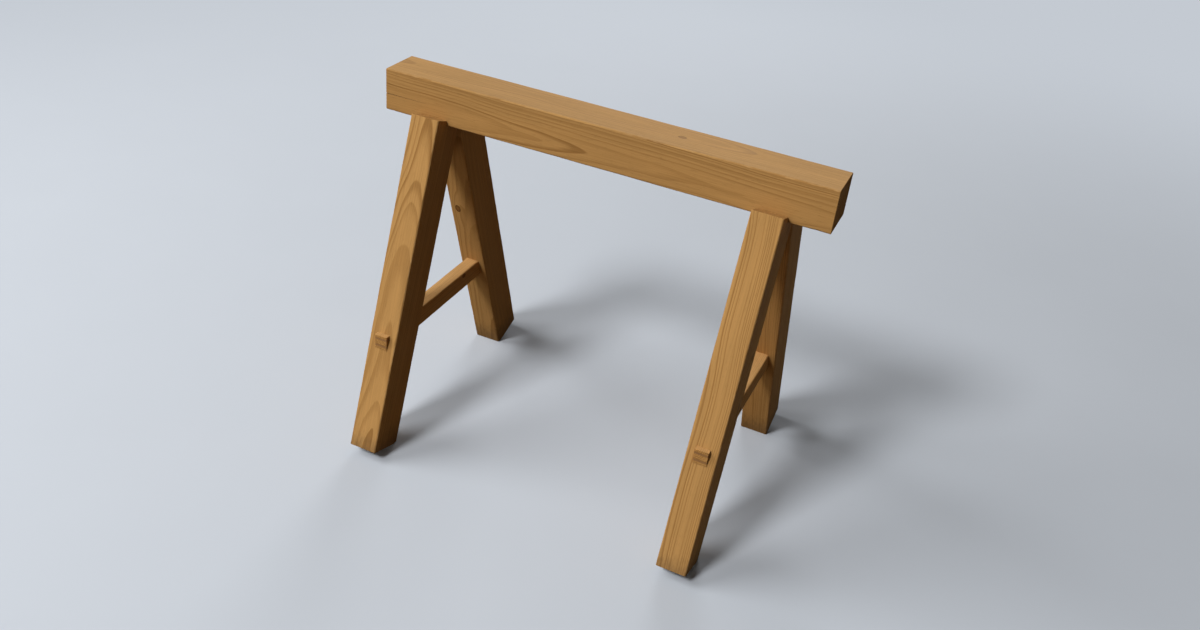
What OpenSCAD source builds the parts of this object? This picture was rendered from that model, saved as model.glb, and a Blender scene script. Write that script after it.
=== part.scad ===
// Builder's trestle: a beam on two splayed timber frames, held by wedged joints.
// The beam lies along X, the legs lean along Y, and the floor is Z = 0 under the beam's middle.

/* [Beam] */
// Length of the beam
beam_length = 1000; // [700:10:1400]
// Width of the beam, across the trestle
beam_width = 102; // [86:1:140]
// Depth of the beam
beam_depth = 92; // [75:1:140]
// Height of the beam's top above the floor
working_height = 820; // [600:5:1000]

/* [Legs] */
// Width of a leg, along the beam
leg_width = 67; // [56:1:90]
// Depth of a leg, across its frame
leg_depth = 93; // [75:1:120]
// Lean of a leg from upright, in degrees
leg_splay = 19; // [15:0.5:23]
// Length of beam that runs past the legs at each end
overhang = 86; // [40:1:200]
// Width of the level flat that each foot bears on
foot_flat = 16; // [8:1:40]

/* [Leg heads] */
// Width of the level seat that the beam lies on
seat_width = 32; // [26:1:40]
// Height of the plumb cut where two heads meet
head_butt = 8; // [4:1:16]
// Thickness of the stub tenon, across the beam
stub_thickness = 20; // [14:1:24]
// Width of the stub tenon, along the beam
stub_width = 42; // [34:1:52]
// Length of the stub tenon above the seat
stub_length = 45; // [38:1:54]
// Depth of mortise left free past the stub tenon
mortise_relief = 2; // [1:0.5:4]
// Thickness of a fox wedge at its butt
fox_butt = 4; // [3:0.1:6]
// Length of a fox wedge
fox_length = 30; // [24:1:36]

/* [Stretchers] */
// Thickness of a stretcher, along the beam
stretcher_thickness = 34; // [28:1:48]
// Depth of a stretcher
stretcher_depth = 44; // [36:1:64]
// Height of a stretcher's middle above the floor
stretcher_height = 273; // [180:1:420]
// Shoulder on each side of the through tenon
side_shoulder = 2; // [1:0.5:6]
// Shoulder above and below the through tenon
edge_shoulder = 8; // [4:0.5:10]
// How far the through tenon's lower edge stands out of the leg
tenon_stand = 1; // [0.5:0.5:10]
// Thickness of a tenon wedge at its butt
wedge_butt = 5; // [3.5:0.1:7]
// Length of a tenon wedge
wedge_length = 52; // [36:1:70]

/* [Fit] */
// Width of the saw cut that a wedge opens
saw_kerf = 1.5; // [1:0.1:2.5]
// Length of saw cut left empty past a wedge's tip
kerf_spare = 4; // [1:0.5:6]
// Glue line round tenons and wedges
glue_line = 0.1; // [0.05:0.05:0.3]
// Chamfer on the long edges of the timbers
arris = 2; // [0.5:0.5:5]

/* [Hidden] */
sides = [["front", -1], ["back", 1]];
ends = [["left", -1], ["right", 1]];
rows = [["lower", -1], ["upper", 1]];
places = [["inner", -1], ["outer", 1]];

beam_tone = "#A67C4B";
leg_tone = "#A9804F";
stretcher_tone = "#AF8858";
wedge_tone = "#8A6236";

// Cuts run this far past the faces that they open
over = arris;

// The beam and the two frames
half_beam = beam_width / 2;
underside = working_height - beam_depth;
frame_x = beam_length / 2 - overhang - leg_width / 2;

// The square end of a leg crosses the centre plane at apex, and its inner face at throat
apex = underside - (half_beam - seat_width) * tan(leg_splay);
throat = apex - head_butt;
function inner_face(z) = (throat - z) * tan(leg_splay);
function outer_face(z) = inner_face(z) + leg_depth / cos(leg_splay);

// Ends of a leg along its own axis, measured from the throat
head_end = head_butt * cos(leg_splay);
foot_end = -throat * cos(leg_splay) - (inner_face(0) + foot_flat) * sin(leg_splay);

// Middle of the stub tenon's root in the leg's own axes, from the middle of the seat
seat_y = half_beam - seat_width / 2;
seat_z = underside - throat;
stub_y = seat_y * cos(leg_splay) + seat_z * sin(leg_splay);
stub_z = seat_z * cos(leg_splay) - seat_y * sin(leg_splay);
stub_half = stub_width / 2;
stub_floor = stub_length + mortise_relief;
fox_tip = stub_floor - fox_length;
fox_slope = (fox_butt - saw_kerf) / fox_length;

// The through tenon, whose plumb end just clears the leg's face at its lower edge
tenon_thickness = stretcher_thickness - 2 * side_shoulder;
tenon_half = stretcher_depth / 2 - edge_shoulder;
tenon_spread = tenon_half + wedge_butt - saw_kerf;
tenon_end = outer_face(stretcher_height - tenon_spread) + tenon_stand;
wedge_tip = tenon_end - wedge_length;
wedge_slope = (wedge_butt - saw_kerf) / wedge_length;

// Section of a timber with its edges eased
function eased(w, d) = [
    for (s = [[1, -1], [1, 1], [-1, 1], [-1, -1]])
        let (
            a = [s.x * (w / 2 - arris), s.y * d / 2],
            b = [s.x * w / 2, s.y * (d / 2 - arris)]
        )
        each s.x * s.y < 0 ? [a, b] : [b, a]
];

// Tenon outline: straight as far as the wedges' tips, then spread by them
function spread_outline(half, root, tip, end, slope) =
    let (wide = half + slope * (end - tip))
    [[-half, root], [half, root], [half, tip], [wide, end], [-wide, end], [-half, tip]];

// Wedge outline: straight towards the tenon's middle, sloped on the other side
function wedge_outline(half, tip, length, slope) =
    let (a = (half - saw_kerf) / 2, b = a + saw_kerf)
    [[a, tip], [b, tip], [b + slope * length, tip + length], [a, tip + length]];

// Saw cut opened by a wedge, with a glue line on both sides and a spare length past the tip
function kerf_outline(half, tip, length, slope) =
    let (a = (half - saw_kerf) / 2 - glue_line, b = (half + saw_kerf) / 2 + glue_line)
    [
        [a, tip - kerf_spare],
        [b, tip - kerf_spare],
        [b, tip],
        [b + slope * length, tip + length],
        [a, tip + length]
    ];

// Puts a back leg's joint parts at one of the four legs
module at_leg(side, end)
    translate([end * frame_x, 0, 0])
        mirror([0, side < 0 ? 1 : 0, 0])
            children();

// Turns from the leg's own axes, Z along the leg and Y out through it, to the frame's
module along_leg()
    translate([0, 0, throat])
        rotate([leg_splay, 0, 0])
            children();

// Outline across X and up the leg, made as thick as the stub tenon
module stub_prism(outline, thickness)
    along_leg()
        translate([0, stub_y, stub_z])
            rotate([90, 0, 0])
                linear_extrude(height = thickness, center = true)
                    polygon(outline);

// Outline up Z and along the stretcher, made as thick as the through tenon
module tenon_prism(outline, thickness)
    translate([0, 0, stretcher_height])
        rotate([0, -90, 0])
            linear_extrude(height = thickness, center = true)
                polygon(outline);

module stub_mortise()
    stub_prism(
        spread_outline(stub_half + glue_line, -stub_length, fox_tip, stub_floor, fox_slope),
        stub_thickness + 2 * glue_line
    );

module stub_tenon()
    difference() {
        stub_prism(
            spread_outline(stub_half, -stub_length, fox_tip, stub_length, fox_slope),
            stub_thickness
        );
        for (p = places)
            mirror([p[1] < 0 ? 1 : 0, 0, 0])
                stub_prism(
                    kerf_outline(stub_half, fox_tip, fox_length, fox_slope),
                    stub_thickness + 2 * over
                );
    }

module through_mortise()
    tenon_prism(
        spread_outline(tenon_half + glue_line, 0, wedge_tip, tenon_end + over, wedge_slope),
        tenon_thickness + 2 * glue_line
    );

module through_tenon()
    difference() {
        tenon_prism(
            spread_outline(tenon_half, 0, wedge_tip, tenon_end, wedge_slope),
            tenon_thickness
        );
        for (r = rows)
            tenon_prism(
                [
                    for (q = kerf_outline(tenon_half, wedge_tip, wedge_length + over, wedge_slope))
                        [r[1] * q.x, q.y]
                ],
                tenon_thickness + 2 * over
            );
    }

// Leg timber cut square at both ends, then levelled at the foot, plumbed and notched at the head
module leg_timber() {
    cut_width = leg_width + 2 * over;
    difference() {
        along_leg()
            translate([0, leg_depth / 2, foot_end])
                linear_extrude(height = head_end - foot_end)
                    polygon(eased(leg_width, leg_depth));
        translate([-cut_width / 2, 0, -leg_depth])
            cube([cut_width, outer_face(-leg_depth), leg_depth]);
        translate([-cut_width / 2, -leg_depth, throat - leg_depth])
            cube([cut_width, leg_depth, 2 * leg_depth]);
        translate([-cut_width / 2, -leg_depth, underside])
            cube([cut_width, leg_depth + half_beam, leg_depth]);
    }
}

// Stretcher bar whose shoulders lie flat on the legs' inner faces
module stretcher_bar() {
    low = inner_face(stretcher_height - stretcher_depth / 2);
    high = inner_face(stretcher_height + stretcher_depth / 2);
    half = stretcher_depth / 2;
    intersection() {
        tenon_prism([[-half, -low], [half, -high], [half, high], [-half, low]], stretcher_thickness);
        translate([0, 0, stretcher_height])
            rotate([90, 0, 0])
                linear_extrude(height = 2 * low, center = true)
                    polygon(eased(stretcher_thickness, stretcher_depth));
    }
}

module top_beam()
    color(beam_tone)
        difference() {
            translate([-beam_length / 2, 0, underside + beam_depth / 2])
                rotate([90, 0, 90])
                    linear_extrude(height = beam_length)
                        polygon(eased(beam_width, beam_depth));
            for (s = sides, e = ends)
                at_leg(s[1], e[1]) stub_mortise();
        }

module leg(side, end)
    color(leg_tone)
        at_leg(side, end)
            difference() {
                union() {
                    leg_timber();
                    stub_tenon();
                }
                through_mortise();
            }

module stretcher(end)
    color(stretcher_tone)
        union() {
            translate([end * frame_x, 0, 0]) stretcher_bar();
            for (s = sides)
                at_leg(s[1], end) through_tenon();
        }

module tenon_wedge(side, end, row)
    color(wedge_tone)
        at_leg(side, end)
            tenon_prism(
                [
                    for (q = wedge_outline(tenon_half, wedge_tip, wedge_length, wedge_slope))
                        [row * q.x, q.y]
                ],
                tenon_thickness
            );

module fox_wedge(side, end, place)
    color(wedge_tone)
        at_leg(side, end)
            mirror([place * end < 0 ? 1 : 0, 0, 0])
                stub_prism(
                    wedge_outline(stub_half, fox_tip, fox_length, fox_slope),
                    stub_thickness
                );

top_beam();
for (s = sides, e = ends)
    leg(s[1], e[1]);
for (e = ends)
    stretcher(e[1]);
for (s = sides, e = ends, r = rows)
    tenon_wedge(s[1], e[1], r[1]);
for (s = sides, e = ends, p = places)
    fox_wedge(s[1], e[1], p[1]);
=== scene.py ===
from math import cos, radians, sin
import bmesh
import bpy
from mathutils import Matrix, Quaternion, Vector, noise


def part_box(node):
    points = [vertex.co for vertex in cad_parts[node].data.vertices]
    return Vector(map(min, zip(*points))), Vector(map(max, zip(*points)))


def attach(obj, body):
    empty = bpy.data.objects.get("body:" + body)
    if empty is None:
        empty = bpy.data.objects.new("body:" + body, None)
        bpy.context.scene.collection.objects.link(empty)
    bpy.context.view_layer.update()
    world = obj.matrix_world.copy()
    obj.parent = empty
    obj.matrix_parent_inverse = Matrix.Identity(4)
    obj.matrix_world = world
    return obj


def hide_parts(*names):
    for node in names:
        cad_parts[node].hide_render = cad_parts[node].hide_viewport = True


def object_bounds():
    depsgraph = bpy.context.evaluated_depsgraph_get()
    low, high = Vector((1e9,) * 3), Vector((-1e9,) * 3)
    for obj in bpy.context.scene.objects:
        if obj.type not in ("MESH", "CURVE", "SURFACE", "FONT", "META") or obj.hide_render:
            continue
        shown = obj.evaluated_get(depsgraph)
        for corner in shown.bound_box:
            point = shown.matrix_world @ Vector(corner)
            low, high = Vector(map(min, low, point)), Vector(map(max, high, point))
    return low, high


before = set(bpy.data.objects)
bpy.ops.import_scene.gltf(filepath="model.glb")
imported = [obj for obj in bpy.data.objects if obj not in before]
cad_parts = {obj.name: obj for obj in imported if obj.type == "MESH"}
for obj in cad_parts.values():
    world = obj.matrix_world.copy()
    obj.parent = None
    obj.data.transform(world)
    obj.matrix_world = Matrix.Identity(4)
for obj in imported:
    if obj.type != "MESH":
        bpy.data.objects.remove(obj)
cadLow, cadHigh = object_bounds()   # the CAD box, before anything is dressed
mm = 0.001
print("frame loaded with", len(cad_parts), "nodes")

# Camera: the photograph's viewpoint, turned to face the trestle and tilted as it leans in the picture
photoView = {
    "stand": (0.784, -1.955, 1.677),
    "aim": (0.041, -0.025, 0.370),
    "tiltDegrees": 6.55,
    "lensMm": 33.0,
    "sensorMm": 36.0,
}


def placeCamera():
    cameraData = bpy.data.cameras.new("photoView")
    cameraData.lens = photoView["lensMm"]
    cameraData.sensor_width = photoView["sensorMm"]
    camera = bpy.data.objects.new("photoView", cameraData)
    camera.location = photoView["stand"]
    camera.rotation_mode = "QUATERNION"
    lookAlong = Vector(photoView["aim"]) - camera.location
    tilt = Quaternion((0, 0, 1), radians(photoView["tiltDegrees"]))
    camera.rotation_quaternion = lookAlong.to_track_quat("-Z", "Y") @ tilt
    bpy.context.scene.collection.objects.link(camera)
    bpy.context.scene.camera = camera


placeCamera()
bpy.context.scene.view_settings.view_transform = "Standard"
print("camera placed")


# sRGB hex to linear, made lighter or darker by shade
def toLinear(hexColour, shade=1.0):
    parts = [int(hexColour[i:i + 2], 16) / 255 for i in (1, 3, 5)]
    linear = [p / 12.92 if p <= 0.04045 else ((p + 0.055) / 1.055) ** 2.4 for p in parts]
    return (*[p * shade for p in linear], 1.0)


# A node with its settings; an input is a value, or the node or output that it is linked from
def addNode(tree, kind, inputs=None, **settings):
    made = tree.nodes.new("ShaderNode" + kind)
    for name, value in settings.items():
        setattr(made, name, value)
    for key, value in (inputs or {}).items():
        if isinstance(value, bpy.types.Node):
            value = next(output for output in value.outputs if output.enabled)
        if isinstance(value, bpy.types.NodeSocket):
            tree.links.new(value, made.inputs[key])
        else:
            made.inputs[key].default_value = value
    return made


def newTree(name):
    material = bpy.data.materials.new(name)
    material.use_nodes = True
    material.node_tree.nodes.clear()
    return material, material.node_tree


# Floor and light, in metres; each lamp stands that far away in the direction "from"
studio = {
    "floorHex": "#BFC5CD",
    "mottle": 0.015,
    "mottleMm": 300.0,
    "floorRoughness": 0.95,
    "floorSheen": 0.1,
    "floorBounceHex": "#6A5C4B",   # the light that the floor throws back on the wood
    "floorSize": 80.0,
    "fadeFrom": 1.6,
    "fadeTo": 4.6,
    "backdropHex": "#C4CAD2",
    "skyHex": "#D6C6B2",
    "skyStrength": 0.08,
    "lamps": {
        "keySoftbox": {"from": (-0.28, -0.65, 0.71), "away": 11.0, "size": 2.4, "watts": 785.0},
        "leftSoftbox": {"from": (-0.72, -0.26, 0.64), "away": 8.0, "size": 5.0, "watts": 400.0},
        "frontSoftbox": {"from": (-0.20, -0.95, 0.17), "away": 9.0, "size": 3.0, "watts": 100.0},
        "backSoftbox": {"from": (-0.25, 0.92, 0.27), "away": 7.0, "size": 3.2, "watts": 225.0},
    },
}


# One where the camera, a mirror or glass sees the surface, nought where it only throws light
def seenRay(tree):
    ray = addNode(tree, "LightPath")
    direct = addNode(tree, "Math", {
        0: ray.outputs["Is Camera Ray"], 1: ray.outputs["Is Glossy Ray"],
    }, operation="MAXIMUM")
    return addNode(tree, "Math", {0: direct, 1: ray.outputs["Is Transmission Ray"]}, operation="MAXIMUM")


def paintedFloor():
    # Matt floor paint, rolled on: one pale cool grey with a faint mottle and no gloss
    material, tree = newTree("rolledMattFloorPaint")
    point = addNode(tree, "TexCoord").outputs["Object"]
    mottle = addNode(tree, "TexNoise", {
        "Vector": point, "Scale": 1 / (studio["mottleMm"] * mm), "Detail": 3.0,
    })
    tint = addNode(tree, "Mix", {
        "Factor": mottle,
        "A": toLinear(studio["floorHex"], 1 - studio["mottle"]),
        "B": toLinear(studio["floorHex"], 1 + studio["mottle"]),
    }, data_type="RGBA")
    shown = addNode(tree, "Mix", {
        "Factor": seenRay(tree), "A": toLinear(studio["floorBounceHex"]), "B": tint,
    }, data_type="RGBA")
    skin = addNode(tree, "BsdfPrincipled", {
        "Base Color": shown,
        "Roughness": studio["floorRoughness"],
        "Specular IOR Level": studio["floorSheen"],
    })
    # Far from the trestle the floor runs into the backdrop without a line
    away = addNode(tree, "VectorMath", {0: point}, operation="LENGTH")
    far = addNode(tree, "MapRange", {
        "Value": away.outputs["Value"], "From Min": studio["fadeFrom"], "From Max": studio["fadeTo"],
    }, interpolation_type="SMOOTHSTEP")
    gone = addNode(tree, "Math", {0: far, 1: seenRay(tree)}, operation="MULTIPLY")
    haze = addNode(tree, "Emission", {"Color": toLinear(studio["backdropHex"]), "Strength": 1.0})
    faded = addNode(tree, "MixShader", {0: gone, 1: skin, 2: haze})
    addNode(tree, "OutputMaterial", {"Surface": faded})
    return material


def layFloor():
    bm = bmesh.new()
    bmesh.ops.create_grid(bm, x_segments=1, y_segments=1, size=studio["floorSize"] / 2)
    mesh = bpy.data.meshes.new("floor")
    bm.to_mesh(mesh)
    bm.free()
    mesh.materials.append(paintedFloor())
    floor = bpy.data.objects.new("floor", mesh)
    bpy.context.scene.collection.objects.link(floor)


def hangLamp(name, lamp):
    lampData = bpy.data.lights.new(name, "AREA")
    lampData.shape = "DISK"
    lampData.size = lamp["size"]
    lampData.energy = lamp["watts"]
    lampObject = bpy.data.objects.new(name, lampData)
    towards = Vector(lamp["from"]).normalized()
    lampObject.location = (cadLow + cadHigh) / 2 + towards * lamp["away"]
    lampObject.rotation_mode = "QUATERNION"
    lampObject.rotation_quaternion = (-towards).to_track_quat("-Z", "Y")
    lampObject.visible_camera = False   # a low view from the other side would show it
    bpy.context.scene.collection.objects.link(lampObject)


# A dim warm light from all round, which the camera sees as the pale backdrop
def fillAir():
    world = bpy.data.worlds.new("studioAir")
    world.use_nodes = True
    tree = world.node_tree
    tree.nodes.clear()
    air = addNode(tree, "Background", {
        "Color": toLinear(studio["skyHex"]), "Strength": studio["skyStrength"],
    })
    backdrop = addNode(tree, "Background", {"Color": toLinear(studio["backdropHex"]), "Strength": 1.0})
    mixed = addNode(tree, "MixShader", {0: seenRay(tree), 1: air, 2: backdrop})
    addNode(tree, "OutputWorld", {"Surface": mixed})
    bpy.context.scene.world = world


layFloor()
for lampName, lamp in studio["lamps"].items():
    hangLamp(lampName, lamp)
fillAir()
print("studio built with", len(studio["lamps"]), "lamps")

# Sizes of the patterns in the wood, in mm: across the grain, along it, and how finely each breaks up.
# Fibres are really a few hundredths wide and are drawn coarser, or they would not show.
grainPatterns = {
    "wander": (1e6, 420, 1.0),   # the heart of the log, which is never straight
    "wave": (45, 260, 2.0),      # rings that aren't quite round
    "fibre": (2.4, 120, 3.0),
    "duct": (0.9, 16, 1.0),      # resin ducts, short dark dashes
    "tone": (110, 480, 2.0),     # slow changes from pale to dark
    "scuff": (7, 16, 4.0),       # frays the edges of knots, wear and dirt
    "drag": (30, 1.5, 1.0),      # scratches across the grain from boards pulled over it
}
redwood = {
    "earlyHex": "#AF854F",
    "lateHex": "#8D6536",
    "heartHex": "#A87A44",
    # paler wood: real wear on the edges, and painted light on the tops
    "wornAndPaintedLightHex": "#BC9665",
    "knotHex": "#7A5026",
    "knotRimHex": "#4F3117",
    "dirtHex": "#5E4A33",
    "apart": 1.7,          # keeps the three draws of a timber unlike each other
    "wanderMm": 26.0,      # how far the heart wanders
    "waveMm": 4.0,         # how far the rings wave
    "leanYears": 0.31,     # how soon wide rings turn to narrow ones, and by how much
    "leanRings": 2.4,
    "branchRise": 0.2,     # a branch climbs a little as it grows out
    "knotOval": 0.62,      # knots, and the rings that flow past them, are drawn out along the grain
    "flowOval": 0.2,
    "knotFar": 1000.0,     # in knot radii, where there is none
    "knotFray": 0.3,
    "wornFrayMm": 9.0,
    "splashMm": 60.0,
    "checkSpread": 4.2,    # how close the drying checks stand
    "toneSpread": 0.07,
    "ior": 1.5,
    "sheen": 0.05,         # broken fibres leave little of it
    "lateGloss": 0.08,     # latewood is harder and planes smoother
    "fibreRelief": 0.6,    # heights against that of latewood
    "ductRelief": 2.0,
    "checkRelief": 3.0,
    "reliefStrength": 0.35,
    "reliefMm": 0.4,
}
# Where each mark in the wood begins and ends, and what it gives there
woodMarks = {
    "farSide": {"From Min": 0.0, "From Max": 10.0, "To Min": 50.0, "To Max": 0.0},   # no branch there
    "knot": {"From Min": 1.45, "From Max": 1.15, "To Min": 0.0, "To Max": 0.9},      # in knot radii
    "knotRim": {"From Min": 0.6, "From Max": 1.2},
    "knotFlow": {"From Min": 0.8, "From Max": 3.4, "To Min": -3.5, "To Max": 0.0},   # rings shift, in mm
    "ringDark": {"To Min": 0.35, "To Max": 1.0},                                     # by the year
    "lateRise": {"From Min": 0.35, "From Max": 0.9, "To Min": 0.0},                  # in parts of a ring
    "lateDrop": {"From Min": 0.93, "From Max": 1.0, "To Min": 1.0, "To Max": 0.0},
    "heartwood": {"From Min": 20.0, "From Max": 75.0},                               # mm from the heart
    "sawn": {"From Min": 0.55, "From Max": 0.9},
    "worn": {"From Min": 7.0, "From Max": 3.5, "To Min": 0.0, "To Max": 0.6},        # mm from an edge
    "dirt": {"From Min": 40 * mm, "From Max": -20 * mm, "To Min": 0.0, "To Max": 0.55},
    "checkLine": {"From Max": 0.016, "To Max": 0.0},
    "checkBreak": {"From Min": 0.4, "From Max": 0.55},
    "upward": {"From Min": 0.8, "From Max": 0.95, "To Min": 0.0},
    "scratchAndPaintedLight": {"From Min": 0.66, "From Max": 0.74, "To Min": 0.65, "To Max": 1.0},  # at least 0.65 everywhere: painted light on the whole top, with real scratches paler still
    "fibreShade": {"From Min": 0.25, "From Max": 0.75, "To Min": 0.9, "To Max": 1.1},
    "toneShade": {"From Min": 0.3, "From Max": 0.7},
    "ductShade": {"From Min": 0.62, "From Max": 0.74, "To Min": 1.0, "To Max": 0.8},
    "sawnShade": {"To Min": 1.0, "To Max": 0.93},
    "sawnRoughness": {"To Min": 0.76, "To Max": 0.92},
}


# The patterns, each stretched along the timber and drawn from its own place
def grainFields(tree, inMm, seed):
    fields = {}
    for kind, (across, along, detail) in grainPatterns.items():
        stretched = addNode(tree, "VectorMath", {
            0: inMm, 1: (1 / across, 1 / across, 1 / along), 2: (seed, seed * redwood["apart"], -seed),
        }, operation="MULTIPLY_ADD")
        fields[kind] = addNode(tree, "TexNoise", {"Vector": stretched, "Scale": 1.0, "Detail": detail})
    return fields


# Way from the heart of the log to a point, and its part across the grain
def wayFromHeart(tree, inMm, fields, wood):
    wander = redwood["wanderMm"]
    heart = addNode(tree, "VectorMath", {
        0: fields["wander"].outputs["Color"],
        1: (wander, wander, 0),
        2: (wood["heartMm"][0] - wander / 2, wood["heartMm"][1] - wander / 2, 0),
    }, operation="MULTIPLY_ADD")
    fromHeart = addNode(tree, "VectorMath", {0: inMm, 1: heart}, operation="SUBTRACT")
    spoke = addNode(tree, "VectorMath", {0: fromHeart, 1: (1, 1, 0)}, operation="MULTIPLY")
    return fromHeart, spoke


# Knots are branches that grew out from the heart. Distance from the nearest, in knot radii, and the same
# drawn further out along the grain, where the rings part to flow past it
def nearestKnot(tree, fromHeart, wood):
    nearest = {"knotOval": redwood["knotFar"], "flowOval": redwood["knotFar"]}
    for turn, alongMm, knotMm in wood["knots"]:
        branch = Vector((cos(radians(turn)), sin(radians(turn)), redwood["branchRise"])).normalized()
        fromRoot = addNode(tree, "VectorMath", {0: fromHeart, 1: (0, 0, alongMm)}, operation="SUBTRACT")
        reach = addNode(tree, "VectorMath", {0: fromRoot, 1: branch}, operation="DOT_PRODUCT")
        foot = addNode(tree, "VectorMath", {0: branch, "Scale": reach}, operation="SCALE")
        aside = addNode(tree, "VectorMath", {0: fromRoot, 1: foot}, operation="SUBTRACT")
        behind = addNode(tree, "MapRange", {"Value": reach, **woodMarks["farSide"]})
        for shape, soFar in nearest.items():
            oval = addNode(tree, "VectorMath", {0: aside, 1: (1, 1, redwood[shape])}, operation="MULTIPLY")
            off = addNode(tree, "VectorMath", {0: oval}, operation="LENGTH")
            inRadii = addNode(tree, "Math", {0: off, 1: 1 / knotMm, 2: behind}, operation="MULTIPLY_ADD")
            nearest[shape] = addNode(tree, "Math", {0: soFar, 1: inRadii}, operation="MINIMUM")
    return nearest["knotOval"], nearest["flowOval"]


# Growth rings: the trunk tapers, and the rings part round the knots. One where a ring is all latewood
def latewood(tree, inMm, fields, radius, flow, wood):
    parted = addNode(tree, "MapRange", {
        "Value": flow, **woodMarks["knotFlow"],
    }, interpolation_type="SMOOTHSTEP")
    along = addNode(tree, "SeparateXYZ", {0: inMm}).outputs["Z"]
    tapered = addNode(tree, "Math", {0: along, 1: wood["taper"], 2: radius}, operation="MULTIPLY_ADD")
    waved = addNode(tree, "Math", {
        0: fields["wave"], 1: redwood["waveMm"], 2: tapered,
    }, operation="MULTIPLY_ADD")
    ringRadius = addNode(tree, "Math", {0: waved, 1: parted}, operation="ADD")
    ringCount = addNode(tree, "Math", {
        0: ringRadius, 1: 1 / wood["ringMm"], 2: wood["seed"],
    }, operation="MULTIPLY_ADD")
    lean = addNode(tree, "TexNoise", {
        "W": ringCount, "Scale": redwood["leanYears"], "Detail": 2.0,
    }, noise_dimensions="1D")
    phase = addNode(tree, "Math", {
        0: lean, 1: redwood["leanRings"], 2: ringCount,
    }, operation="MULTIPLY_ADD")
    ringPart = addNode(tree, "Math", {0: phase}, operation="FRACT")
    ringNumber = addNode(tree, "Math", {0: phase}, operation="FLOOR")
    year = addNode(tree, "TexWhiteNoise", {"W": ringNumber}, noise_dimensions="1D")
    dark = addNode(tree, "MapRange", {"Value": year.outputs["Value"], **woodMarks["ringDark"]})
    rise = addNode(tree, "MapRange", {
        "Value": ringPart, **woodMarks["lateRise"], "To Max": dark,
    }, interpolation_type="SMOOTHSTEP")
    drop = addNode(tree, "MapRange", {
        "Value": ringPart, **woodMarks["lateDrop"],
    }, interpolation_type="SMOOTHSTEP")
    return addNode(tree, "Math", {0: rise, 1: drop}, operation="MULTIPLY")


# One on a sawn end, which crosses the grain
def sawnEnd(tree, place, grain):
    facing = addNode(tree, "VectorMath", {
        0: place.outputs["Normal"], 1: grain["turn"].row[2],
    }, operation="DOT_PRODUCT")
    square = addNode(tree, "Math", {0: facing}, operation="ABSOLUTE")
    return addNode(tree, "MapRange", {"Value": square, **woodMarks["sawn"]})


# Drying checks: fine dark lines that run out from the heart on a sawn end
def dryingChecks(tree, fields, spoke, sawn, wood):
    axes = addNode(tree, "SeparateXYZ", {0: spoke})
    turn = addNode(tree, "Math", {0: axes.outputs["Y"], 1: axes.outputs["X"]}, operation="ARCTAN2")
    crazed = addNode(tree, "TexNoise", {
        "W": turn, "Scale": redwood["checkSpread"], "Detail": 0.0,
    }, noise_dimensions="1D")
    crossed = addNode(tree, "Math", {0: crazed, 1: 0.5}, operation="SUBTRACT")   # the noise's middle
    fromLine = addNode(tree, "Math", {0: crossed}, operation="ABSOLUTE")
    fine = addNode(tree, "MapRange", {
        "Value": fromLine, **woodMarks["checkLine"], "To Min": wood["checked"],
    })
    broken = addNode(tree, "MapRange", {"Value": fields["scuff"], **woodMarks["checkBreak"]})
    lines = addNode(tree, "Math", {0: fine, 1: broken}, operation="MULTIPLY")
    return addNode(tree, "Math", {0: lines, 1: sawn}, operation="MULTIPLY")


# Long edges rubbed by handling
def wornEdges(tree, inMm, fields, grain):
    depth = addNode(tree, "VectorMath", {0: inMm}, operation="ABSOLUTE")
    inset = addNode(tree, "VectorMath", {0: grain["half"] / mm, 1: depth}, operation="SUBTRACT")
    axes = addNode(tree, "SeparateXYZ", {0: inset})
    fromEdge = addNode(tree, "Math", {0: axes.outputs["X"], 1: axes.outputs["Y"]}, operation="MAXIMUM")
    frayed = addNode(tree, "Math", {
        0: fields["scuff"], 1: redwood["wornFrayMm"], 2: fromEdge,
    }, operation="MULTIPLY_ADD")
    return addNode(tree, "MapRange", {
        "Value": frayed, **woodMarks["worn"],
    }, interpolation_type="SMOOTHSTEP")


# A top that boards are laid on or boots stand on: paler all over as painted light for the light a top
# catches, and paler still in its real scratches
def topScratchesAndPaintedLight(tree, place, fields, wood):
    up = addNode(tree, "SeparateXYZ", {0: place.outputs["Normal"]}).outputs["Z"]
    upward = addNode(tree, "MapRange", {"Value": up, **woodMarks["upward"], "To Max": wood["scratchedAndPaintedLight"]})
    scoredAndPaintedLight = addNode(tree, "MapRange", {"Value": fields["drag"], **woodMarks["scratchAndPaintedLight"]})
    return addNode(tree, "Math", {0: scoredAndPaintedLight, 1: upward}, operation="MULTIPLY")


# Dirt splashed up from the floor
def footDirt(tree, place, fields):
    height = addNode(tree, "SeparateXYZ", {0: place.outputs["Object"]}).outputs["Z"]
    splashed = addNode(tree, "Math", {
        0: fields["scuff"], 1: -redwood["splashMm"] * mm, 2: height,
    }, operation="MULTIPLY_ADD")
    return addNode(tree, "MapRange", {
        "Value": splashed, **woodMarks["dirt"],
    }, interpolation_type="SMOOTHSTEP")


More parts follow.
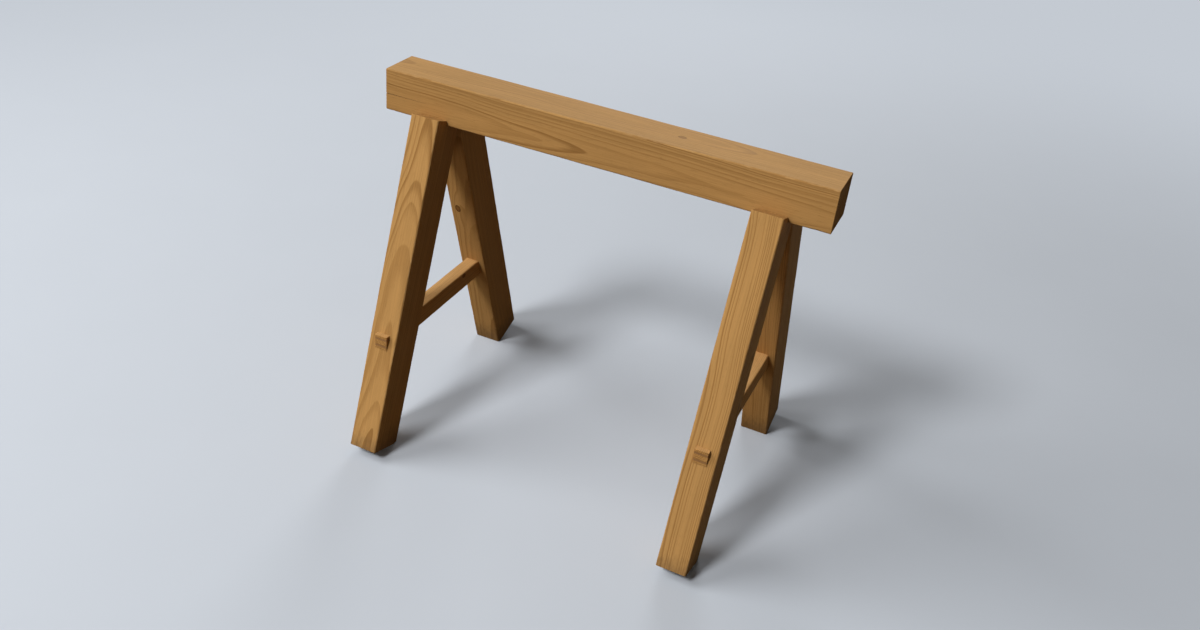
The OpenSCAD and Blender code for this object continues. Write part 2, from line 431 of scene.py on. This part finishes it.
# Colour of the rings and the knots
def grownColour(tree, fields, radius, late, knotDistance):
    sapwood = addNode(tree, "MapRange", {"Value": radius, **woodMarks["heartwood"]})
    pale = addNode(tree, "Mix", {
        "Factor": sapwood, "A": toLinear(redwood["heartHex"]), "B": toLinear(redwood["earlyHex"]),
    }, data_type="RGBA")
    ringed = addNode(tree, "Mix", {
        "Factor": late, "A": pale, "B": toLinear(redwood["lateHex"]),
    }, data_type="RGBA")
    ragged = addNode(tree, "Math", {
        0: fields["scuff"], 1: redwood["knotFray"], 2: knotDistance,
    }, operation="MULTIPLY_ADD")
    knot = addNode(tree, "MapRange", {
        "Value": ragged, **woodMarks["knot"],
    }, interpolation_type="SMOOTHSTEP")
    knotRim = addNode(tree, "MapRange", {"Value": ragged, **woodMarks["knotRim"]})
    knotTint = addNode(tree, "Mix", {
        "Factor": knotRim, "A": toLinear(redwood["knotHex"]), "B": toLinear(redwood["knotRimHex"]),
    }, data_type="RGBA")
    return addNode(tree, "Mix", {"Factor": knot, "A": ringed, "B": knotTint}, data_type="RGBA")


# Shade of the fibres, the timber's own tone (on the stretchers raised as painted light), the ducts, the
# sawn ends and the checks
def grownShade(tree, fields, ducts, sawn, check, wood):
    fibres = addNode(tree, "MapRange", {"Value": fields["fibre"], **woodMarks["fibreShade"]})
    tone = addNode(tree, "MapRange", {
        "Value": fields["tone"], **woodMarks["toneShade"],
        "To Min": (1 - redwood["toneSpread"]) * wood["tone"],
        "To Max": (1 + redwood["toneSpread"]) * wood["tone"],
    })
    ends = addNode(tree, "MapRange", {"Value": sawn, **woodMarks["sawnShade"]})
    checked = addNode(tree, "Math", {0: ends, 1: check}, operation="SUBTRACT")
    faces = addNode(tree, "Math", {0: fibres, 1: tone}, operation="MULTIPLY")
    pricked = addNode(tree, "Math", {0: faces, 1: ducts}, operation="MULTIPLY")
    return addNode(tree, "Math", {0: pricked, 1: checked}, operation="MULTIPLY")


# Latewood stands a little proud of earlywood, and the ducts and checks are hollow
def grainRelief(tree, fields, late, ducts, check):
    rings = addNode(tree, "Math", {
        0: fields["fibre"], 1: redwood["fibreRelief"], 2: late,
    }, operation="MULTIPLY_ADD")
    pricked = addNode(tree, "Math", {
        0: ducts, 1: redwood["ductRelief"], 2: rings,
    }, operation="MULTIPLY_ADD")
    relief = addNode(tree, "Math", {
        0: check, 1: -redwood["checkRelief"], 2: pricked,
    }, operation="MULTIPLY_ADD")
    return addNode(tree, "Bump", {
        "Height": relief, "Strength": redwood["reliefStrength"], "Distance": redwood["reliefMm"] * mm,
    })


def planedRedwood(name, grain, wood):
    # Redwood, planed and gone brown with age: broad pale earlywood between thin darker latewood lines,
    # a low sheen on the faces, duller and a little darker on the sawn ends
    material, tree = newTree(name)
    place = addNode(tree, "TexCoord")
    inMm = addNode(tree, "Mapping", {
        "Vector": place.outputs["Object"], "Rotation": grain["turn"].to_euler(),
        "Scale": (1 / mm, 1 / mm, 1 / mm), "Location": grain["middle"] / -mm,
    })
    fields = grainFields(tree, inMm, wood["seed"])
    fromHeart, spoke = wayFromHeart(tree, inMm, fields, wood)
    radius = addNode(tree, "VectorMath", {0: spoke}, operation="LENGTH")
    knotDistance, flow = nearestKnot(tree, fromHeart, wood)
    late = latewood(tree, inMm, fields, radius, flow, wood)
    sawn = sawnEnd(tree, place, grain)
    check = dryingChecks(tree, fields, spoke, sawn, wood)
    ducts = addNode(tree, "MapRange", {"Value": fields["duct"], **woodMarks["ductShade"]})

    grown = grownColour(tree, fields, radius, late, knotDistance)
    # Edges paler with real wear; tops paler with real scratches and with painted light
    rubbedAndPaintedLight = addNode(tree, "Math", {
        0: wornEdges(tree, inMm, fields, grain), 1: topScratchesAndPaintedLight(tree, place, fields, wood),
    }, operation="MAXIMUM")
    handledAndPaintedLight = addNode(tree, "Mix", {
        "Factor": rubbedAndPaintedLight, "A": grown, "B": toLinear(redwood["wornAndPaintedLightHex"]),
    }, data_type="RGBA")
    dirty = addNode(tree, "Mix", {
        "Factor": footDirt(tree, place, fields), "A": handledAndPaintedLight, "B": toLinear(redwood["dirtHex"]),
    }, data_type="RGBA")
    shade = grownShade(tree, fields, ducts, sawn, check, wood)
    colour = addNode(tree, "VectorMath", {0: dirty, "Scale": shade}, operation="SCALE")

    dull = addNode(tree, "MapRange", {"Value": sawn, **woodMarks["sawnRoughness"]})
    rough = addNode(tree, "Math", {0: late, 1: -redwood["lateGloss"], 2: dull}, operation="MULTIPLY_ADD")
    skin = addNode(tree, "BsdfPrincipled", {
        "Base Color": colour, "Roughness": rough,
        "IOR": redwood["ior"], "Specular IOR Level": redwood["sheen"],
        "Normal": grainRelief(tree, fields, late, ducts, check),
    })
    addNode(tree, "OutputMaterial", {"Surface": skin})
    return material


# Edges of the timbers and wedges
edgeWork = {
    "roundMm": 0.7,       # rounding of every edge that shows
    "roundSteps": 2,
    "sharpDegrees": 30,   # edges flatter than this stay as they are
    "flatDegrees": 0.5,   # triangles this flat to each other become one face
    "mergeMm": 0.002,
    "sliceMm": 0.001,
    "slackMm": 0.05,      # points this close are in line
    "endOn": 0.99,        # how squarely an end crosses the grain
    "endless": 0.1,       # and how little a long face does
    "stepMm": 7.0,        # distance between the points along an edge
    "wornZoneMm": 3.2,    # how far in from an edge the wear reaches
    "wear": 0.35,         # how far the rounding swells and shrinks along an edge
    "wearMm": 70.0,       # length of a swell
    "dent": 3.0,          # depth and spacing of the small dents
    "dentFrom": 0.5,
    "dentMm": 21.0,
    "leastWear": 0.7,
    "mostWear": 2.4,
    "octaves": 2,
    "wearTrack": 90.0,    # keeps the wear on one edge unlike that on the next
    "dentTrack": 70.0,
}
slack = edgeWork["slackMm"] * mm


# Copy of a CAD solid, its loose triangles merged into flat faces
def mergedCopy(nodeName):
    bm = bmesh.new()
    bm.from_mesh(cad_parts[nodeName].data)
    bmesh.ops.remove_doubles(bm, verts=bm.verts, dist=edgeWork["mergeMm"] * mm)
    bmesh.ops.dissolve_limit(
        bm, angle_limit=radians(edgeWork["flatDegrees"]), verts=bm.verts, edges=bm.edges)
    return bm


def roundEdges(bm, edges):
    rounded = bmesh.ops.bevel(
        bm, geom=edges, offset=edgeWork["roundMm"] * mm, segments=edgeWork["roundSteps"],
        profile=0.5, affect="EDGES", material=-1)
    return rounded["faces"]


def newPiece(bm, name, material):
    mesh = bpy.data.meshes.new(name)
    bm.to_mesh(mesh)
    bm.free()
    mesh.materials.append(material)
    piece = bpy.data.objects.new(name, mesh)
    bpy.context.scene.collection.objects.link(piece)
    return piece


def standFor(piece, nodeName):
    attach(piece, "root")
    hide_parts(nodeName)


# Axes of a timber: Z along its grain, and the box that it fills in those axes
def grainFrame(bm):
    longest = max(bm.edges, key=lambda e: e.calc_length())
    along = (longest.verts[1].co - longest.verts[0].co).normalized()
    if max(along, key=abs) < 0:
        along = -along
    liesAlongX = abs(along.x) > 0.5   # the beam does, and the others lean or lie across it
    across = Vector((0, 1, 0)) if liesAlongX else Vector((1, 0, 0))
    turned = Matrix((across, along.cross(across), along))
    places = [turned @ v.co for v in bm.verts]
    low = Vector([min(p[i] for p in places) for i in range(3)])
    high = Vector([max(p[i] for p in places) for i in range(3)])
    return {"turn": turned, "middle": (low + high) / 2, "half": (high - low) / 2}


# A point in the timber's own axes, from its middle, and back again
def inGrain(grain, place):
    return grain["turn"] @ place - grain["middle"]


def outOfGrain(grain, place):
    return grain["turn"].transposed() @ (place + grain["middle"])


def insideBeam(place):
    low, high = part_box("top_beam")
    return place.z > low.z + slack and abs(place.y) < high.y - slack


# Edges that show: both faces lie on the outside of the timber, or the edge is the rim of a tenon's end
def shownEdges(bm, grain, isLeg):
    bm.normal_update()
    corners = [v.co for v in bm.verts if not (isLeg and insideBeam(v.co))]
    outside = set()
    for face in bm.faces:
        if all((co - face.verts[0].co).dot(face.normal) < slack for co in corners):
            outside.add(face)
    ends = [f for f in outside if abs((grain["turn"] @ f.normal).z) > edgeWork["endOn"]]
    rim = [inGrain(grain, v.co) for f in ends for v in f.verts]
    wide = [max(abs(p[i]) for p in rim) - slack for i in (0, 1)]
    found = []
    for edge in bm.edges:
        if not edge.is_convex or edge.calc_face_angle() < radians(edgeWork["sharpDegrees"]):
            continue
        bothOut = all(f in outside for f in edge.link_faces)
        onEnd = any(f in ends for f in edge.link_faces)
        places = [inGrain(grain, v.co) for v in edge.verts]
        onRim = onEnd and any(all(abs(p[i]) > wide[i] for p in places) for i in (0, 1))
        if bothOut or onRim:
            found.append(edge)
    return found


# Slices across the timber, so that an edge can swell and shrink along its length
def sliceTimber(bm, grain):
    slices = int(2 * grain["half"].z / (edgeWork["stepMm"] * mm))
    for i in range(1, slices):
        onAxis = Vector((0, 0, grain["half"].z * (2 * i / slices - 1)))
        bmesh.ops.bisect_plane(
            bm, geom=bm.verts[:] + bm.edges[:] + bm.faces[:], dist=edgeWork["sliceMm"] * mm,
            plane_co=outOfGrain(grain, onAxis), plane_no=grain["turn"].row[2])


# Moves the points of the rounded long edges towards the corner or away from it
def wearEdges(bm, grain, seed):
    bm.normal_update()
    half = grain["half"]
    for vert in bm.verts:
        p = inGrain(grain, vert.co)
        if max(half.x - abs(p.x), half.y - abs(p.y)) > edgeWork["wornZoneMm"] * mm:
            continue
        endings = [abs((grain["turn"] @ f.normal).z) for f in vert.link_faces]
        if max(endings) > edgeWork["endless"]:
            continue
        corner = Vector((half.x if p.x > 0 else -half.x, half.y if p.y > 0 else -half.y, p.z))
        track = corner * edgeWork["wearTrack"]
        spot = Vector((seed + track.x, track.y, p.z / (edgeWork["wearMm"] * mm)))
        track = corner * edgeWork["dentTrack"]
        small = Vector((seed - track.y, track.x, p.z / (edgeWork["dentMm"] * mm)))
        swell = 1 + edgeWork["wear"] * noise.fractal(spot, 1.0, 2.0, edgeWork["octaves"])
        swell += edgeWork["dent"] * max(0, noise.noise(small) - edgeWork["dentFrom"])
        swell = min(max(swell, edgeWork["leastWear"]), edgeWork["mostWear"])
        vert.co = outOfGrain(grain, corner + (p - corner) * swell)


# A drying split is a thin wedge of air from the heart out through a face, closing along the timber
splitWork = {
    "pastMm": 2.0,         # how far the wedge of air stands out of the face, and of the end
    "pastEndMm": 1.0,
    "steps": 9,
    "leastSlope": 0.001,   # a way along one face never comes out of it
    "wavesAcross": 130.0,  # it wanders as the fibres do, so many waves to the metre
    "wavesAlong": 60.0,
}


def wedgeOfAir(grain, split):
    turn = radians(split["turn"])
    way = Vector((cos(turn), sin(turn), 0))
    across = Vector((-sin(turn), cos(turn), 0))
    heart = Vector((*split["heartMm"], 0)) * mm
    toFaces = []
    for i in (0, 1):
        room = grain["half"][i] - heart[i] * (1 if way[i] > 0 else -1)
        toFaces.append(room / max(abs(way[i]), splitWork["leastSlope"]))
    rim = heart + way * (min(toFaces) + splitWork["pastMm"] * mm)
    aside = across * split["wideMm"] * mm / 2
    end = Vector((0, 0, split["end"] * (grain["half"].z + splitWork["pastEndMm"] * mm)))
    deep = Vector((0, 0, split["end"] * (grain["half"].z - split["deepMm"] * mm)))
    bm = bmesh.new()
    for corner in (heart + end, rim + aside + end, rim - aside + end, rim + deep):
        bm.verts.new(corner)
    bmesh.ops.convex_hull(bm, input=bm.verts[:])
    bmesh.ops.subdivide_edges(bm, edges=bm.edges[:], cuts=splitWork["steps"], use_grid_fill=True)
    for vert in bm.verts:
        spot = Vector((
            vert.co.dot(way) * splitWork["wavesAcross"],
            vert.co.z * splitWork["wavesAlong"],
            split["turn"],
        ))
        vert.co += across * noise.noise(spot) * split["wanderMm"] * mm
        vert.co = outOfGrain(grain, vert.co)
    bmesh.ops.recalc_face_normals(bm, faces=bm.faces[:])
    return bm


def openSplit(piece, grain, split):
    bm = wedgeOfAir(grain, split)
    mesh = bpy.data.meshes.new("split")
    bm.to_mesh(mesh)
    bm.free()
    gap = bpy.data.objects.new("split", mesh)
    bpy.context.scene.collection.objects.link(gap)
    cut = piece.modifiers.new("split", "BOOLEAN")
    cut.operation = "DIFFERENCE"
    cut.solver = "EXACT"
    cut.object = gap
    seen = piece.evaluated_get(bpy.context.evaluated_depsgraph_get())
    piece.data = bpy.data.meshes.new_from_object(seen)
    piece.modifiers.clear()
    bpy.data.objects.remove(gap)


def dressTimber(nodeName, wood):
    bm = mergedCopy(nodeName)
    grain = grainFrame(bm)
    for face in bm.faces:   # the eased edges shade smoothly, the flats stay flat
        normal = grain["turn"] @ face.normal
        face.smooth = min(abs(normal.x), abs(normal.y)) > 0.5
    for face in roundEdges(bm, shownEdges(bm, grain, "leg" in nodeName)):
        face.smooth = True
    sliceTimber(bm, grain)
    wearEdges(bm, grain, wood["seed"])
    piece = newPiece(bm, nodeName + "_timber", planedRedwood("planedRedwood_" + nodeName, grain, wood))
    for split in wood["splits"]:
        openSplit(piece, grain, split)
    standFor(piece, nodeName)
    print(nodeName, "dressed with", len(piece.data.polygons), "faces")


# Each timber: where the heart of its log lies in its section, its ring width, its knots as
# (direction in degrees, place along the timber in mm, radius in mm), and how pale it is; the stretchers'
# extra paleness is painted light
plainTimber = {"scratchedAndPaintedLight": 0.0, "checked": 0.35, "splits": []}
beamTimber = {
    "heartMm": (15.2, -17), "ringMm": 4.4, "taper": 0.012, "tone": 0.96, "seed": 3.1,
    # how pale the top is made: painted light on the top, and real scratches
    "scratchedAndPaintedLight": 0.6, "checked": 0.65,
    "knots": [(8, -235, 6.5), (104, 150, 5.0), (-60, 330, 6.0)],
    "splits": [
        {"end": 1, "heartMm": (16, -16), "turn": 12, "wideMm": 1.9, "deepMm": 150, "wanderMm": 1.2},
        {"end": -1, "heartMm": (14, -18), "turn": 172, "wideMm": 1.7, "deepMm": 120, "wanderMm": 1.2},
    ],
}
legTimbers = {
    "leg_front_left": {
        "heartMm": (9, 64), "ringMm": 4.0, "taper": 0.02, "tone": 1.0, "seed": 11.7,
        "knots": [(160, 190, 6.0), (-30, -250, 5.0)],
    },
    "leg_front_right": {
        "heartMm": (-52, 30), "ringMm": 4.2, "taper": 0.016, "tone": 1.02, "seed": 23.4,
        "knots": [(20, -150, 6.0)],
    },
    "leg_back_left": {
        "heartMm": (30, 70), "ringMm": 4.3, "taper": 0.018, "tone": 0.99, "seed": 37.9,
        "knots": [(-110, 60, 6.0), (100, -180, 5.5)],
    },
    "leg_back_right": {
        "heartMm": (-20, -72), "ringMm": 4.5, "taper": 0.02, "tone": 1.01, "seed": 48.2,
        "knots": [(84, 30, 6.5)],
    },
}
# The stretchers' high tone and pale tops are painted light, lifting them out of the shade of the beam and
# legs; the right one, deeper in shade, more so
stretcherTimbers = {
    "stretcher_left": {
        "heartMm": (36, -30), "ringMm": 3.8, "taper": 0.015, "tone": 1.15, "seed": 59.6,
        "scratchedAndPaintedLight": 0.65,
        "knots": [(140, 70, 4.0)],
    },
    "stretcher_right": {
        "heartMm": (-34, -26), "ringMm": 3.8, "taper": 0.015, "tone": 1.21, "seed": 66.3,
        "scratchedAndPaintedLight": 0.65,
        "knots": [(38, -60, 4.0)],
    },
}
dressTimber("top_beam", beamTimber)
for nodeName, wood in legTimbers.items():
    dressTimber(nodeName, {**plainTimber, **wood})
for nodeName, wood in stretcherTimbers.items():
    dressTimber(nodeName, {**plainTimber, **wood})

oakWedges = {
    "paleHex": "#9A6E3B",
    "darkHex": "#7A542A",
    "fibreMm": 1.6,
    "fibreLongMm": 45.0,
    "streakFrom": 0.3,
    "streakTo": 0.7,
    "roughness": 0.75,
    "ior": 1.5,
    "reliefStrength": 0.4,
    "reliefMm": 0.3,
}


def rivenOak():
    # Oak split along the grain: straight brown streaks, matt, darker than the redwood round it
    material, tree = newTree("rivenOak")
    point = addNode(tree, "TexCoord").outputs["Object"]
    across = 1 / (oakWedges["fibreMm"] * mm)
    along = 1 / (oakWedges["fibreLongMm"] * mm)
    stretched = addNode(tree, "VectorMath", {0: point, 1: (across, along, across)}, operation="MULTIPLY")
    fibre = addNode(tree, "TexNoise", {"Vector": stretched, "Scale": 1.0, "Detail": 3.0})
    streak = addNode(tree, "MapRange", {
        "Value": fibre, "From Min": oakWedges["streakFrom"], "From Max": oakWedges["streakTo"],
    })
    colour = addNode(tree, "Mix", {
        "Factor": streak, "A": toLinear(oakWedges["darkHex"]), "B": toLinear(oakWedges["paleHex"]),
    }, data_type="RGBA")
    bump = addNode(tree, "Bump", {
        "Height": fibre, "Strength": oakWedges["reliefStrength"], "Distance": oakWedges["reliefMm"] * mm,
    })
    skin = addNode(tree, "BsdfPrincipled", {
        "Base Color": colour, "Roughness": oakWedges["roughness"], "IOR": oakWedges["ior"], "Normal": bump,
    })
    addNode(tree, "OutputMaterial", {"Surface": skin})
    return material


# The tenon wedges show their butts, sawn off with the tenon and rounded with its rim
def dressWedge(nodeName, material):
    bm = mergedCopy(nodeName)
    butt = max(bm.verts, key=lambda v: abs(v.co.y)).co.y
    rim = []
    for edge in bm.edges:
        first, second = [v.co for v in edge.verts]
        atButt = abs(first.y - butt) < slack and abs(second.y - butt) < slack
        if atButt and abs(first.x - second.x) < slack:   # upright edges lie on the tenon's rim
            rim.append(edge)
    roundEdges(bm, rim)
    piece = newPiece(bm, nodeName + "_oak", material)
    standFor(piece, nodeName)


oak = rivenOak()
for nodeName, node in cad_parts.items():
    if nodeName.startswith("tenon_wedge"):
        dressWedge(nodeName, oak)
    elif nodeName.startswith("fox_wedge"):   # shut inside the joints, so the CAD shape stays
        node.material_slots[0].material = oak
print("wedges finished")
